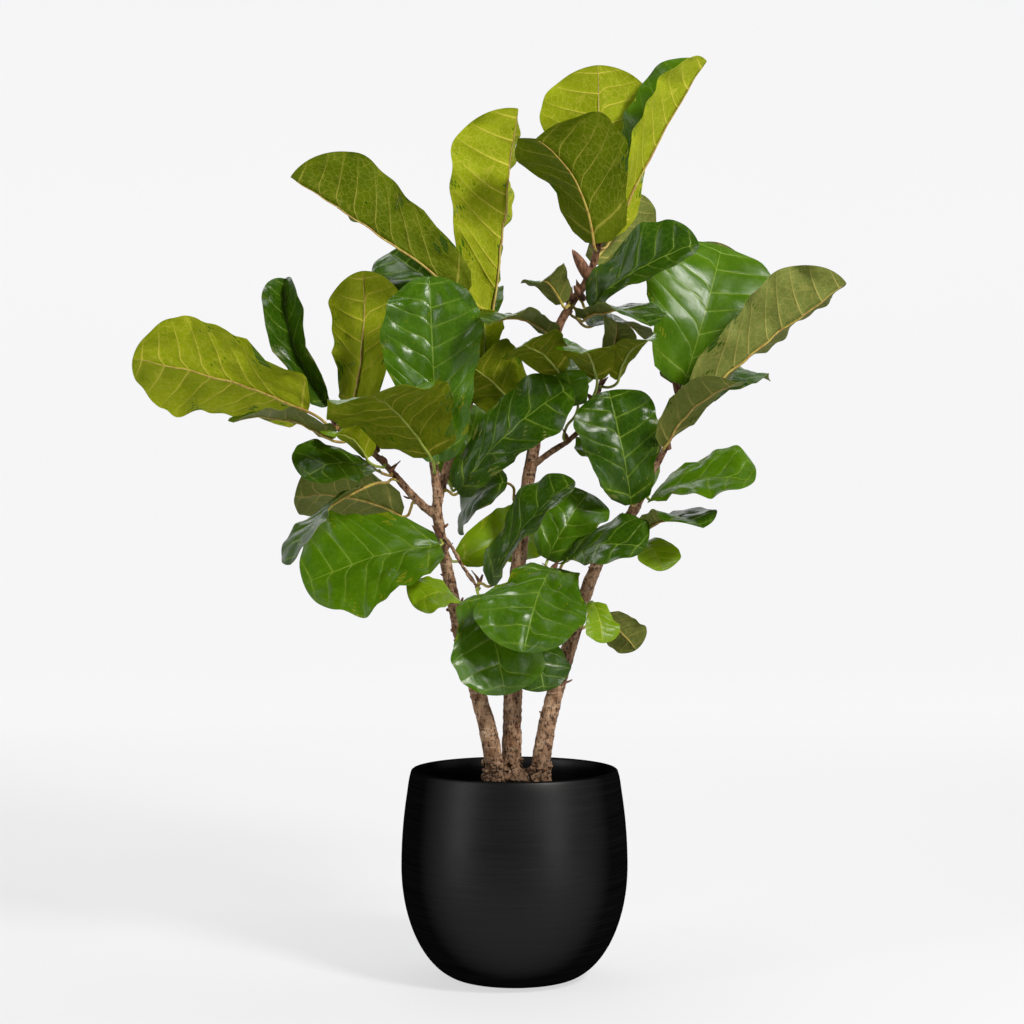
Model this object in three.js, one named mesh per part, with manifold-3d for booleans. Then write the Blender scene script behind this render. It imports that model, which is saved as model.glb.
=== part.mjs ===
// A fiddle leaf fig in a round black pot: a pot, its soil, three woody trunks and their leaves.
// Millimetres, +Z up. The origin is the middle of the pot's flat underside.

import * as THREE from 'three';
import { mergeVertices } from 'three/addons/utils/BufferGeometryUtils.js';
import Module from 'manifold-3d';

const wasm = await Module();
wasm.setup();

// ---------------------------------------------------------------- driving dimensions

const potHeight = 368;
const potDiameter = 400;
const potRimDiameter = 365;
const potFootDiameter = 172;
const potWidestHeight = 198;
const potWall = 11;
const potFloor = 14;
const soilBelowRim = 23;
const plantHeight = 1290; // from the soil to the highest leaf tip
const trunkDepth = 90; // how far the trunks go down into the soil
const leftTrunkDiameter = 33;
const middleTrunkDiameter = 36;
const rightTrunkDiameter = 34;
const leafThickness = 1.2;
const midribDepth = 2; // how far the midrib stands out of the underside
const petioleDiameter = 5;
const clearance = 0.3; // between pieces that touch
const potSegments = 40;
const trunkSides = 12;
const twigSides = 8;

// The stems and leaves below are given for a plant of this height, and grow with plantHeight.
const drawnHeight = 1290;
const growth = plantHeight / drawnHeight;
const soilLevel = potHeight - soilBelowRim;

// ---------------------------------------------------------------- small helpers

const group = new THREE.Group();

function vector(xyz) {
  return new THREE.Vector3(...xyz);
}

function material(color, roughness) {
  return new THREE.MeshStandardMaterial({ color, roughness, metalness: 0 });
}

function addMesh(name, geometry, color, roughness) {
  const mesh = new THREE.Mesh(geometry, material(color, roughness));
  mesh.name = name;
  group.add(mesh);
}

function toManifold(geometry) {
  const bare = new THREE.BufferGeometry();
  bare.setAttribute('position', geometry.getAttribute('position'));
  bare.setIndex(geometry.getIndex());
  const merged = mergeVertices(bare, 1e-4);
  return new wasm.Manifold(new wasm.Mesh({
    numProp: 3,
    vertProperties: merged.getAttribute('position').array,
    triVerts: merged.getIndex().array,
  }));
}

function toGeometry(solid) {
  const mesh = solid.getMesh();
  const geometry = new THREE.BufferGeometry();
  geometry.setAttribute('position', new THREE.BufferAttribute(mesh.vertProperties, 3));
  geometry.setIndex(new THREE.BufferAttribute(mesh.triVerts, 1));
  return geometry;
}

// Turns a closed mesh so that its faces point out.
function closedGeometry(points, triangles) {
  let volume = 0;
  for (const [a, b, c] of triangles) {
    volume += points[a].dot(new THREE.Vector3().crossVectors(points[b], points[c]));
  }
  const outward = volume > 0 ? triangles : triangles.map(([a, b, c]) => [a, c, b]);
  const geometry = new THREE.BufferGeometry().setFromPoints(points);
  geometry.setIndex(outward.flat());
  return geometry;
}

// ---------------------------------------------------------------- pot and soil

const potRadius = potDiameter / 2;
const rimRadius = potRimDiameter / 2;
const footRadius = potFootDiameter / 2;

// The pot's outer wall: an elliptical bowl up to the widest height, then a slow curve in to the rim.
function potOuterRadius(height) {
  if (height < potWidestHeight) {
    const below = (potWidestHeight - height) / potWidestHeight;
    return footRadius + (potRadius - footRadius) * Math.sqrt(1 - below * below);
  }
  const above = (height - potWidestHeight) / (potHeight - potWidestHeight);
  return potRadius - (potRadius - rimRadius) * above * above;
}

// Heights from low to high, closer together near the foot where the bowl turns fastest.
function wallHeights(low, high, steps) {
  return Array.from({ length: steps + 1 }, (_, i) => low + (high - low) * (i / steps) ** 1.5);
}

const lipBase = potHeight - potWall / 2;
const innerHeights = wallHeights(potFloor, lipBase, 9);

function potInnerRadius(height) {
  return potOuterRadius(height) - potWall;
}

function makePot() {
  const profile = [new THREE.Vector2(0, 0)];
  const lipRadius = potWall / 2;
  for (const height of wallHeights(0, lipBase, 14)) {
    profile.push(new THREE.Vector2(potOuterRadius(height), height));
  }
  const lipMiddle = potOuterRadius(lipBase) - lipRadius;
  for (const angle of [36, 72, 108, 144]) {
    const turn = THREE.MathUtils.degToRad(angle);
    profile.push(new THREE.Vector2(
      lipMiddle + lipRadius * Math.cos(turn), lipBase + lipRadius * Math.sin(turn)));
  }
  for (const height of innerHeights.toReversed()) {
    profile.push(new THREE.Vector2(potInnerRadius(height), height));
  }
  profile.push(new THREE.Vector2(0, potFloor));
  return new THREE.LatheGeometry(profile, potSegments).rotateX(Math.PI / 2);
}

// The soil fills the pot up to its level, and keeps its clearance to the same faceted inner wall.
function makeSoil(sockets) {
  const below = innerHeights.filter((height) => height < soilLevel);
  const [low, high] = [below.at(-1), innerHeights[below.length]];
  const share = (soilLevel - low) / (high - low);
  const topRadius = THREE.MathUtils.lerp(potInnerRadius(low), potInnerRadius(high), share);
  const profile = [new THREE.Vector2(0, potFloor + clearance)];
  for (const height of below) {
    profile.push(new THREE.Vector2(potInnerRadius(height) - 2 * clearance, height + clearance));
  }
  profile.push(new THREE.Vector2(topRadius - 2 * clearance, soilLevel));
  profile.push(new THREE.Vector2(0, soilLevel));
  const soil = new THREE.LatheGeometry(profile, potSegments).rotateX(Math.PI / 2);
  return toGeometry(sockets.reduce((solid, socket) => solid.subtract(socket), toManifold(soil)));
}

// ---------------------------------------------------------------- trunks

// A closed tube through the given stations, each { point, radius }, with flat ends.
function tubeGeometry(stations, sides) {
  const points = [];
  let side = new THREE.Vector3(1, 0, 0);
  stations.forEach(({ point, radius }, i) => {
    const before = stations[Math.max(i - 1, 0)].point;
    const after = stations[Math.min(i + 1, stations.length - 1)].point;
    const along = after.clone().sub(before).normalize();
    side = side.clone().addScaledVector(along, -side.dot(along)).normalize();
    const across = new THREE.Vector3().crossVectors(along, side);
    for (let j = 0; j < sides; j += 1) {
      const turn = (2 * Math.PI * j) / sides;
      points.push(point.clone()
        .addScaledVector(side, radius * Math.cos(turn))
        .addScaledVector(across, radius * Math.sin(turn)));
    }
  });
  const triangles = [];
  for (let i = 0; i + 1 < stations.length; i += 1) {
    for (let j = 0; j < sides; j += 1) {
      const a = i * sides + j;
      const b = i * sides + ((j + 1) % sides);
      triangles.push([a, b, b + sides], [a, b + sides, a + sides]);
    }
  }
  const last = (stations.length - 1) * sides;
  for (let j = 1; j + 1 < sides; j += 1) {
    triangles.push([0, j + 1, j], [last, last + j, last + j + 1]);
  }
  return closedGeometry(points, triangles);
}

// Stations along a smooth stem, whose route is given from the soil's middle, thinning to its tip.
function stemStations(route, baseDiameter, tipDiameter, steps) {
  const middles = route.map(([x, y, z]) => new THREE.Vector3(
    x * growth, y * growth, z * growth + soilLevel));
  const curve = new THREE.CatmullRomCurve3(middles, false, 'centripetal');
  return curve.getSpacedPoints(steps).map((point, i) => ({
    point,
    radius: (baseDiameter + (tipDiameter - baseDiameter) * (i / steps)) / 2,
  }));
}

const stems = {};

function addStem(name, route, baseDiameter, tipDiameter, steps) {
  stems[name] = stemStations(route, baseDiameter, tipDiameter, steps);
}

addStem('left', [
  [-31, -15, 0], [-45, -10, 83], [-66, -5, 162], [-93, 0, 250], [-114, 5, 348],
  [-130, 5, 427], [-137, 0, 477], [-137, -5, 516], [-144, -12, 572],
], leftTrunkDiameter, 15, 18);
addStem('left_branch', [
  [-137, 0, 470], [-162, 5, 488], [-194, 10, 521], [-234, 15, 566], [-283, 15, 605], [-322, 10, 630],
], 16, 8, 9);
addStem('left_leader', [
  [-137, 0, 490], [-124, 22, 545], [-105, 32, 604], [-79, 34, 675], [-57, 28, 746], [-42, 22, 806],
], 18, 9, 9);
addStem('left_twig', [
  [-128, 4, 436], [-108, -28, 412], [-84, -52, 372], [-60, -66, 342],
], 9, 6, 6);
addStem('middle', [
  [-8, 20, 0], [-4, 18, 80], [-3, 18, 160], [1, 22, 249], [5, 26, 356], [13, 30, 445], [26, 30, 543],
  [42, 30, 632], [58, 25, 721], [72, 20, 792], [102, 15, 849], [127, 10, 885], [143, 10, 925],
  [149, 10, 952],
], middleTrunkDiameter, 12, 26);
addStem('middle_twig', [
  [28, 30, 556], [62, 10, 582], [105, 8, 610], [134, 12, 650], [150, 12, 690], [156, 8, 722],
], 13, 7, 8);
addStem('middle_spur', [
  [4, 26, 318], [24, -2, 328], [48, -32, 348], [66, -52, 372],
], 11, 6, 6);
addStem('right', [
  [42, -10, 0], [54, -10, 83], [73, -10, 163], [98, -5, 242], [125, 0, 330], [145, 5, 383],
  [178, 8, 436], [212, 10, 481], [237, 10, 537], [264, 10, 587], [282, 15, 632], [299, 15, 686],
], rightTrunkDiameter, 12, 20);

// The straight part of a trunk that stands in the soil, widened by extra all round.
function buriedPart(name, extra) {
  const { point, radius } = stems[name][0];
  const low = point.clone();
  low.z -= trunkDepth + extra;
  const high = point.clone();
  high.z += extra > 0 ? soilBelowRim : 1;
  return tubeGeometry([low, high].map((end) => ({ point: end, radius: radius + extra })), trunkSides);
}

function makeTrunk(name, branches) {
  let solid = toManifold(tubeGeometry(stems[name], trunkSides));
  solid = solid.add(toManifold(buriedPart(name, 0)));
  for (const branch of branches) {
    solid = solid.add(toManifold(tubeGeometry(stems[branch], twigSides)));
  }
  return toGeometry(solid);
}

// ---------------------------------------------------------------- leaves

// Half the leaf's width, as a share of its greatest, at shares of the way from base to tip:
// a rounded base, the narrow waist of a fiddle, a broad shoulder and a blunt tip.
const outline = [
  [0, 0.12], [0.05, 0.42], [0.17, 0.62], [0.31, 0.7], [0.46, 0.84], [0.6, 0.97], [0.73, 1], [0.86, 0.87],
  [0.95, 0.55],
];

// The point of a stem at a height above the soil, with its direction and radius there.
function stemAt(name, height) {
  const stations = stems[name];
  const level = soilLevel + height * growth;
  let best = 0;
  let share = 0;
  let miss = Infinity;
  for (let i = 0; i + 1 < stations.length; i += 1) {
    const rise = stations[i + 1].point.z - stations[i].point.z;
    const part = THREE.MathUtils.clamp((level - stations[i].point.z) / rise, 0, 1);
    const error = Math.abs(stations[i].point.z + part * rise - level);
    if (error < miss - 1e-9) {
      miss = error;
      best = i;
      share = part;
    }
  }
  const [low, high] = [stations[best], stations[best + 1]];
  return {
    point: low.point.clone().lerp(high.point, share),
    along: high.point.clone().sub(low.point).normalize(),
    radius: THREE.MathUtils.lerp(low.radius, high.radius, share),
  };
}

function crossed(a, b) {
  return new THREE.Vector3().crossVectors(a, b).normalize();
}

// One ring of a petiole: eight points round its middle.
function petioleRing(middle, side, up, radius) {
  return [4, 3, 2, 1, 0, 7, 6, 5].map((eighth) => {
    const turn = (eighth * Math.PI) / 4;
    return middle.clone()
      .addScaledVector(side, radius * Math.cos(turn))
      .addScaledVector(up, radius * Math.sin(turn));
  });
}

// One ring of a blade: left edge, three points of the upper side, right edge, three of the underside.
function bladeRing(middle, side, up, halfWidth, leaf, rib) {
  const half = (sign, share, lift) => {
    const turn = THREE.MathUtils.degToRad(sign < 0 ? leaf.foldLeft : leaf.foldRight);
    const out = side.clone().multiplyScalar(sign * Math.cos(turn)).addScaledVector(up, Math.sin(turn));
    const off = side.clone().multiplyScalar(-sign * Math.sin(turn)).addScaledVector(up, Math.cos(turn));
    const curl = leaf.curl * halfWidth * share * share;
    return middle.clone().addScaledVector(out, halfWidth * share).addScaledVector(off, curl + lift);
  };
  const skin = leafThickness / 2;
  return [
    half(-1, 1, 0), half(-1, 0.5, skin), middle.clone().addScaledVector(up, skin), half(1, 0.5, skin),
    half(1, 1, 0), half(1, 0.5, -skin), middle.clone().addScaledVector(up, -skin - rib),
    half(-1, 0.5, -skin),
  ];
}

function leafGeometry(leaf) {
  const stem = stemAt(leaf.stem, leaf.height);
  const base = stem.point.clone().addScaledVector(vector(leaf.reach), growth);
  const blade = vector(leaf.blade).multiplyScalar(growth);
  const along = blade.clone().normalize();
  const side = crossed(along, vector(leaf.face));
  const up = crossed(side, along);
  const bow = up.clone().multiplyScalar(leaf.arch).addScaledVector(side, leaf.sway);
  bow.multiplyScalar(4 * growth);
  const rings = [];

  // the petiole leaves the stem square to it and runs into the midrib
  const outward = base.clone().sub(stem.point);
  outward.addScaledVector(stem.along, -outward.dot(stem.along)).normalize();
  const start = stem.point.clone().addScaledVector(outward, stem.radius + clearance);
  const bend = start.distanceTo(base) * 0.4;
  const bladeStart = blade.clone().add(bow);
  const path = new THREE.CubicBezierCurve3(
    start,
    start.clone().addScaledVector(outward, bend),
    base.clone().addScaledVector(bladeStart.normalize(), -bend),
    base);
  const petioleShares = [0.7, 0.35, 0];
  let ringSide = side.clone();
  for (const share of petioleShares) {
    const tangent = path.getTangent(share);
    ringSide = ringSide.clone().addScaledVector(tangent, -ringSide.dot(tangent)).normalize();
    const ringUp = crossed(ringSide, tangent);
    const swell = share === 0 ? 1.3 : 1;
    const radius = (petioleDiameter / 2) * swell;
    rings.unshift(petioleRing(path.getPoint(share), ringSide, ringUp, radius));
  }

  // the blade follows its arched and twisted midrib
  for (const [share, width] of outline) {
    const middle = base.clone().addScaledVector(blade, share).addScaledVector(bow, share * (1 - share));
    const tangent = blade.clone().addScaledVector(bow, 1 - 2 * share).normalize();
    const twist = THREE.MathUtils.degToRad(leaf.twist * (share - 0.5));
    const ringAcross = side.clone().addScaledVector(tangent, -side.dot(tangent)).normalize();
    ringAcross.applyAxisAngle(tangent, twist);
    const ringUp = crossed(ringAcross, tangent);
    const rib = midribDepth * (1 - share);
    const halfWidth = (leaf.width / 2) * growth * width;
    rings.push(bladeRing(middle, ringAcross, ringUp, halfWidth, leaf, rib));
  }

  // the two sides are split into triangles in opposite ways, and closed at both ends
  const points = rings.flat();
  const triangles = [];
  for (let i = 0; i + 1 < rings.length; i += 1) {
    for (let j = 0; j < 8; j += 1) {
      const a = i * 8 + j;
      const b = i * 8 + ((j + 1) % 8);
      if (j < 4) {
        triangles.push([a, b, b + 8], [a, b + 8, a + 8]);
      } else {
        triangles.push([a, b, a + 8], [b, b + 8, a + 8]);
      }
    }
  }
  const tip = points.push(base.clone().add(blade)) - 1;
  const heel = points.push(start) - 1;
  const last = (rings.length - 1) * 8;
  for (let j = 0; j < 8; j += 1) {
    const next = (j + 1) % 8;
    triangles.push([last + j, last + next, tip], [next, j, heel]);
  }
  return closedGeometry(points, triangles);
}

// Each leaf: the stem it grows from and the height of its node above the soil; reach, from the stem's
// middle to the blade's base; blade, from base to tip; the width; face, where the upper side looks;
// arch, how far the midrib bows that way; fold of the two halves in degrees, left and right; curl of
// the edges; twist in degrees from base to tip; sway, how far the midrib bows to the right.
const leaves = [
  ['top_back', 'middle', 944, [5, 35, 20], [0, 50, 325], 215, [0.1, 1, 0.2], { arch: 15 }],
  ['top_front', 'middle', 940, [-5, -40, 5], [-105, -120, 165], 220, [0.0, 1, 0.35],
    { fold: [5, 58], sway: -24 }],
  ['top_right', 'middle', 946, [25, 10, 20], [170, 5, 315], 185, [-0.86, -0.1, 0.47],
    { fold: [60, 40], arch: 8 }],
  ['top_edge', 'middle', 925, [0, 50, 0], [95, 80, 135], 100, [0.4, 0.9, 0.3], { arch: 10 }],
  ['upper_right_fold', 'middle', 862, [20, -40, -25], [185, -85, 100], 135, [-0.1, -0.8, 0.6],
    { fold: [30, 30] }],
  ['upper_right_low', 'middle', 845, [20, -35, -30], [110, -150, -25], 120, [0, -0.1, 1],
    { fold: [20, 20] }],
  ['upper_wavy_left', 'middle', 845, [-15, -45, -5], [-40, -80, 30], 85, [-0.5, -0.7, 0.7],
    { fold: [25, 25] }],
  ['upper_wavy_right', 'middle', 835, [40, 25, -25], [105, 100, -15], 100, [0.2, -0.3, 1],
    { fold: [15, 15] }],
  ['mid_pale_edge', 'middle', 800, [-10, -40, -15], [-110, -130, 10], 100, [-0.1, -0.2, 1],
    { fold: [20, 20] }],
  ['mid_small_olive', 'middle', 740, [20, -50, -20], [-70, -85, 40], 115, [-0.1, 0.5, 0.9],
    { fold: [10, 10] }],
  ['mid_left_olive', 'middle', 620, [-30, -10, 35], [-85, -80, 75], 150, [-0.3, 0.7, 0.7],
    { fold: [15, 15] }],
  ['mid_back_left', 'middle', 480, [-30, 30, 50], [-85, 90, -60], 135, [-0.1, -0.8, 0.6]],
  ['mid_back_right', 'middle', 700, [30, 65, -5], [60, 200, 90], 150, [0.2, -0.3, 1]],
  ['twig_olive_front', 'middle_twig', 665, [5, -30, 45], [-35, -140, 35], 105, [0, -0.1, 1],
    { fold: [15, 15] }],
  ['twig_dark_up', 'middle_twig', 715, [5, -25, 15], [15, -75, 75], 70, [0.5, 0.7, 0.5],
    { fold: [20, 20] }],
  ['twig_green_right', 'middle_twig', 700, [30, -25, 10], [55, -95, 60], 85, [-0.3, 0.2, 0.9],
    { fold: [20, 20] }],
  ['twig_small_low', 'middle_twig', 600, [20, -20, 65], [-20, -25, 60], 70, [-0.3, -0.8, 0.5], { arch: 8 }],
  ['right_top_front', 'right', 678, [0, -40, 20], [75, 70, 255], 240, [0.15, -0.95, 0.35],
    { arch: 25, fold: [8, 8] }],
  ['right_top_back', 'right', 670, [10, 30, 30], [70, 75, 270], 180, [0.1, 0.95, 0.3], { arch: 20 }],
  ['right_top_long', 'right', 655, [20, -95, 10], [260, -30, 205], 165, [-0.56, 1, 0.83],
    { fold: [42, 45], arch: 8 }],
  ['right_top_dark', 'right', 640, [30, 45, 40], [120, 170, 65], 155, [0.3, -0.3, 1]],
  ['right_olive', 'right', 590, [-5, -65, 0], [115, -110, 105], 115, [-0.5, 0.6, 0.6], { fold: [20, 20] }],
  ['right_upright', 'right', 510, [-20, -40, -20], [-40, 0, 200], 150, [0.1, -1, 0.12], { arch: 18 }],
  ['right_flat', 'right', 520, [10, -40, -20], [170, -100, 30], 150, [-0.1, -0.55, 0.85],
    { fold: [15, 15] }],
  ['right_edge_low', 'right', 465, [25, -40, -25], [95, -120, 10], 125, [0, -0.15, 1], { fold: [20, 20] }],
  ['right_small_low', 'right', 440, [35, -30, -20], [40, -60, -45], 85, [0.2, -0.6, 0.8]],
  ['right_inner_dark', 'middle_spur', 370, [25, -15, 25], [130, -105, 20], 150, [0.1, -0.7, 0.75]],
  ['right_back_low', 'right', 450, [25, 70, 50], [-25, 210, 115], 170, [0, -0.3, 1]],
  ['far_left_pale', 'left_branch', 626, [-50, -10, 30], [-305, -30, 90], 205, [0.25, 0.8, 0.55],
    { arch: 18 }],
  ['far_left_dark', 'left_branch', 628, [-15, 30, 40], [-80, 30, 230], 110, [0, -1, 0.1],
    { fold: [50, 60], sway: -22 }],
  ['far_left_edge', 'left_branch', 610, [-30, -30, -5], [-160, -115, 25], 130, [-0.15, -0.05, 1],
    { fold: [15, 15] }],
  ['left_pale_up', 'left_branch', 580, [-35, 0, 85], [15, 35, 245], 145, [0.35, 0.9, 0.1], { arch: 15 }],
  ['left_curled', 'left_branch', 560, [-30, -40, 10], [-50, -85, 35], 85, [-0.2, 0.1, 1],
    { fold: [30, 30] }],
  ['left_dark_small', 'left_branch', 545, [-35, -30, 10], [-110, -125, -20], 140, [-0.2, -0.8, 0.6]],
  ['left_olive_low', 'left_branch', 500, [-25, 20, -30], [-190, -25, 35], 180, [-0.1, 0.6, 0.8],
    { fold: [15, 15] }],
  ['left_edge_down', 'left_branch', 535, [-55, -105, -15], [-110, -140, -130], 105, [-0.6, -0.2, 0.8],
    { fold: [12, 12] }],
  ['left_back', 'left', 400, [25, 55, -10], [155, 90, 50], 130, [0.1, -0.8, 0.6]],
  ['left_upright', 'left', 568, [10, -20, -5], [-15, -20, 325], 175, [0, -1, 0.12], { arch: 22 }],
  ['left_front_olive', 'left', 548, [-5, -55, 25], [-90, -205, 95], 215, [-0.2, 0.25, 1],
    { fold: [10, 10] }],
  ['left_broad', 'left', 425, [0, -25, -5], [-235, -55, -70], 230, [-0.35, -0.8, 0.55], { arch: 18 }],
  ['left_small_yellow', 'left', 285, [0, -35, 40], [-75, -45, -10], 100, [-0.2, -0.7, 0.7]],
  ['left_inner_dark', 'left_leader', 515, [30, -30, -5], [200, -60, 185], 135, [-0.35, -0.85, 0.45],
    { arch: 25 }],
  ['left_bright', 'left_leader', 540, [20, 45, -20], [40, 45, 150], 135, [0.1, -1, 0.3]],
  ['leader_pale_up', 'left_leader', 800, [5, -15, 10], [45, 10, 385], 210, [-1, 1, 0.15],
    { arch: 5, fold: [48, 45] }],
  ['leader_left', 'left_leader', 795, [-40, -50, 60], [-305, -35, 205], 195, [0.5, 1, 0.75],
    { fold: [42, 60], arch: 5 }],
  ['leader_dark', 'left_leader', 770, [-45, 15, 55], [-135, 110, 130], 145, [0.1, -0.9, 0.4]],
  ['leader_yellow', 'left_leader', 715, [15, -45, 35], [-5, -45, 80], 70, [0.2, 0.9, 0.3], { arch: 8 }],
  ['leader_back', 'left_leader', 745, [-20, 100, 50], [-45, 180, 110], 175, [0, -0.3, 1]],
  ['low_left_up', 'left_twig', 350, [25, -15, 0], [145, -35, 180], 130, [-0.5, -0.5, 0.7],
    { fold: [20, 20] }],
  ['low_left_down', 'left_twig', 344, [0, -30, -10], [45, -80, -165], 160, [0.15, -0.85, 0.5],
    { arch: 22 }],
  ['low_front', 'middle_spur', 345, [20, -75, 35], [-50, -140, -135], 185, [-0.15, -0.8, 0.6],
    { arch: 22 }],
  ['low_middle_up', 'middle_spur', 366, [-5, 20, 25], [75, 45, 120], 125, [-0.2, -0.9, 0.3], { arch: 15 }],
  ['low_middle_down', 'middle', 270, [20, -50, 0], [30, -35, -105], 105, [0.2, -0.8, 0.5], { arch: 12 }],
  ['low_right_olive', 'right', 290, [25, -40, 30], [15, -40, -70], 65, [0.3, -0.6, 0.7], { arch: 8 }],
  ['low_right_pale', 'right', 275, [45, 15, 20], [65, 30, -65], 80, [0.3, 0.9, 0.3], { arch: 8 }],
];

function leafFrom([name, stem, height, reach, blade, width, face, extra = {}]) {
  const { arch = 20, fold = [12, 12], curl = -0.08, twist = 0, sway = 0 } = extra;
  return {
    name, stem, height, reach, blade, width, face, arch, curl, twist, sway,
    foldLeft: fold[0], foldRight: fold[1],
  };
}

// ---------------------------------------------------------------- the object

const sockets = ['left', 'middle', 'right'].map((name) => toManifold(buriedPart(name, clearance)));
addMesh('pot', makePot(), 0x1b1b1d, 0.35);
addMesh('soil', makeSoil(sockets), 0x1a1511, 0.95);
addMesh('trunk_left', makeTrunk('left', ['left_branch', 'left_leader', 'left_twig']), 0x8a6a4c, 0.8);
addMesh('trunk_middle', makeTrunk('middle', ['middle_twig', 'middle_spur']), 0x8a6a4c, 0.8);
addMesh('trunk_right', makeTrunk('right', []), 0x8a6a4c, 0.8);
for (const leaf of leaves.map(leafFrom)) {
  addMesh(`leaf_${leaf.name}`, leafGeometry(leaf), 0x3f6b1f, 0.4);
}

export default group;
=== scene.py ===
"""The looks of a potted fiddle leaf fig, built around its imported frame.

Metres, +Z up, in the frame's own axes: the view from the front looks along +Y.
Each CAD leaf is read back as rings and drawn again as a fine veined blade with its petiole. The trunks get
bark, the soil gets crumbs, and the pot is turned again from its own outline.
"""

import math
import random

import bmesh
import bpy
import numpy as np
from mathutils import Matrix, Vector, noise


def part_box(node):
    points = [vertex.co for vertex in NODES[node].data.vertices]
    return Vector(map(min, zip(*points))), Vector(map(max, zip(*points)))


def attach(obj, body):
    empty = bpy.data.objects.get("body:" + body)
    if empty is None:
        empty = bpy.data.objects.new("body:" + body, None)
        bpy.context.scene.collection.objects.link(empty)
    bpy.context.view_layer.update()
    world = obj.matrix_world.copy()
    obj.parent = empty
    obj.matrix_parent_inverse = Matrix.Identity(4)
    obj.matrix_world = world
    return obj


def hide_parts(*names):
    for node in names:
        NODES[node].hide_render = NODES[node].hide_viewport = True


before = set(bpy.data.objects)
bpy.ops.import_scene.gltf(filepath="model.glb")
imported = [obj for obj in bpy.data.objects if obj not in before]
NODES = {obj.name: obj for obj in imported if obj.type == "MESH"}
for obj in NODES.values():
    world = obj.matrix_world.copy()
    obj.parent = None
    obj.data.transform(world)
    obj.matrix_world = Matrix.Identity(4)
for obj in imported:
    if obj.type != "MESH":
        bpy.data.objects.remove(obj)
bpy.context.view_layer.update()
LEAVES = sorted(name for name in NODES if name.startswith("leaf_"))
TRUNKS = sorted(name for name in NODES if name.startswith("trunk_"))


# ---------------------------------------------------------------- camera and stage

EYE = (-0.0044, -3.590, 0.822)
LENS_MM = 71.3
SENSOR_MM = 36.0


def add_camera():
    data = bpy.data.cameras.new("camera")
    data.lens = LENS_MM
    data.sensor_width = SENSOR_MM
    camera = bpy.data.objects.new("camera", data)
    camera.location = EYE
    camera.rotation_euler = (math.radians(90), 0, 0)
    bpy.context.scene.collection.objects.link(camera)
    bpy.context.scene.camera = camera


def add_area_light(name, place, target, size, power, color=(1, 1, 1)):
    data = bpy.data.lights.new(name, "AREA")
    data.shape = "RECTANGLE"
    data.size, data.size_y = size
    data.energy = power
    data.color = color
    light = bpy.data.objects.new(name, data)
    light.location = place
    direction = Vector(target) - Vector(place)
    light.rotation_euler = direction.to_track_quat("-Z", "Y").to_euler()
    bpy.context.scene.collection.objects.link(light)


def add_lights():
    plant, pot = (0, 0, 1.0), (0, 0, 0.3)
    add_area_light("key", (2.2, -2.6, 3.2), plant, (0.75, 1.0), 215, (1, 0.98, 0.94))
    add_area_light("fill", (-3.0, -2.0, 2.2), plant, (0.8, 1.4), 30)
    add_area_light("top", (0.2, 0.5, 3.6), plant, (1.5, 1.5), 35)
    add_area_light("back", (-0.6, 2.3, 2.6), plant, (2.2, 1.6), 16)
    add_area_light("strip_left", (-2.9, -1.9, 0.7), pot, (0.8, 1.2), 24)
    add_area_light("strip_right", (2.1, -2.5, 0.7), pot, (0.6, 1.2), 20)
    world = bpy.data.worlds.new("studio")
    world.use_nodes = True
    background = world.node_tree.nodes["Background"]
    background.inputs["Color"].default_value = (0.96, 0.97, 1, 1)
    background.inputs["Strength"].default_value = 0.04
    bpy.context.scene.world = world


def add_stage():
    """A round pale floor that curves up into a wall, with the plant, the camera and the lights inside."""
    radius, height, fillet, sides = 8.0, 9.0, 2.4, 96
    profile = [(0.5, 0.0), (2.5, 0.0), (radius - fillet, 0.0)]
    for step in range(1, 13):
        turn = math.radians(90 * step / 12)
        profile.append((radius - fillet + fillet * math.sin(turn), fillet - fillet * math.cos(turn)))
    profile.append((radius, height))
    points = [(0.0, 0.0, 0.0)]
    for reach, z in profile:
        points.extend(circle(reach, z, sides))
    faces = [(0, 1 + side, 1 + (side + 1) % sides) for side in range(sides)]
    faces += [tuple(reversed(face)) for face in grid_faces(len(profile), sides, 1, closed=True)]
    mesh = new_mesh("backdrop", points, faces, paper_material())
    backdrop = bpy.data.objects.new("backdrop", mesh)
    bpy.context.scene.collection.objects.link(backdrop)


# ---------------------------------------------------------------- node materials


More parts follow.
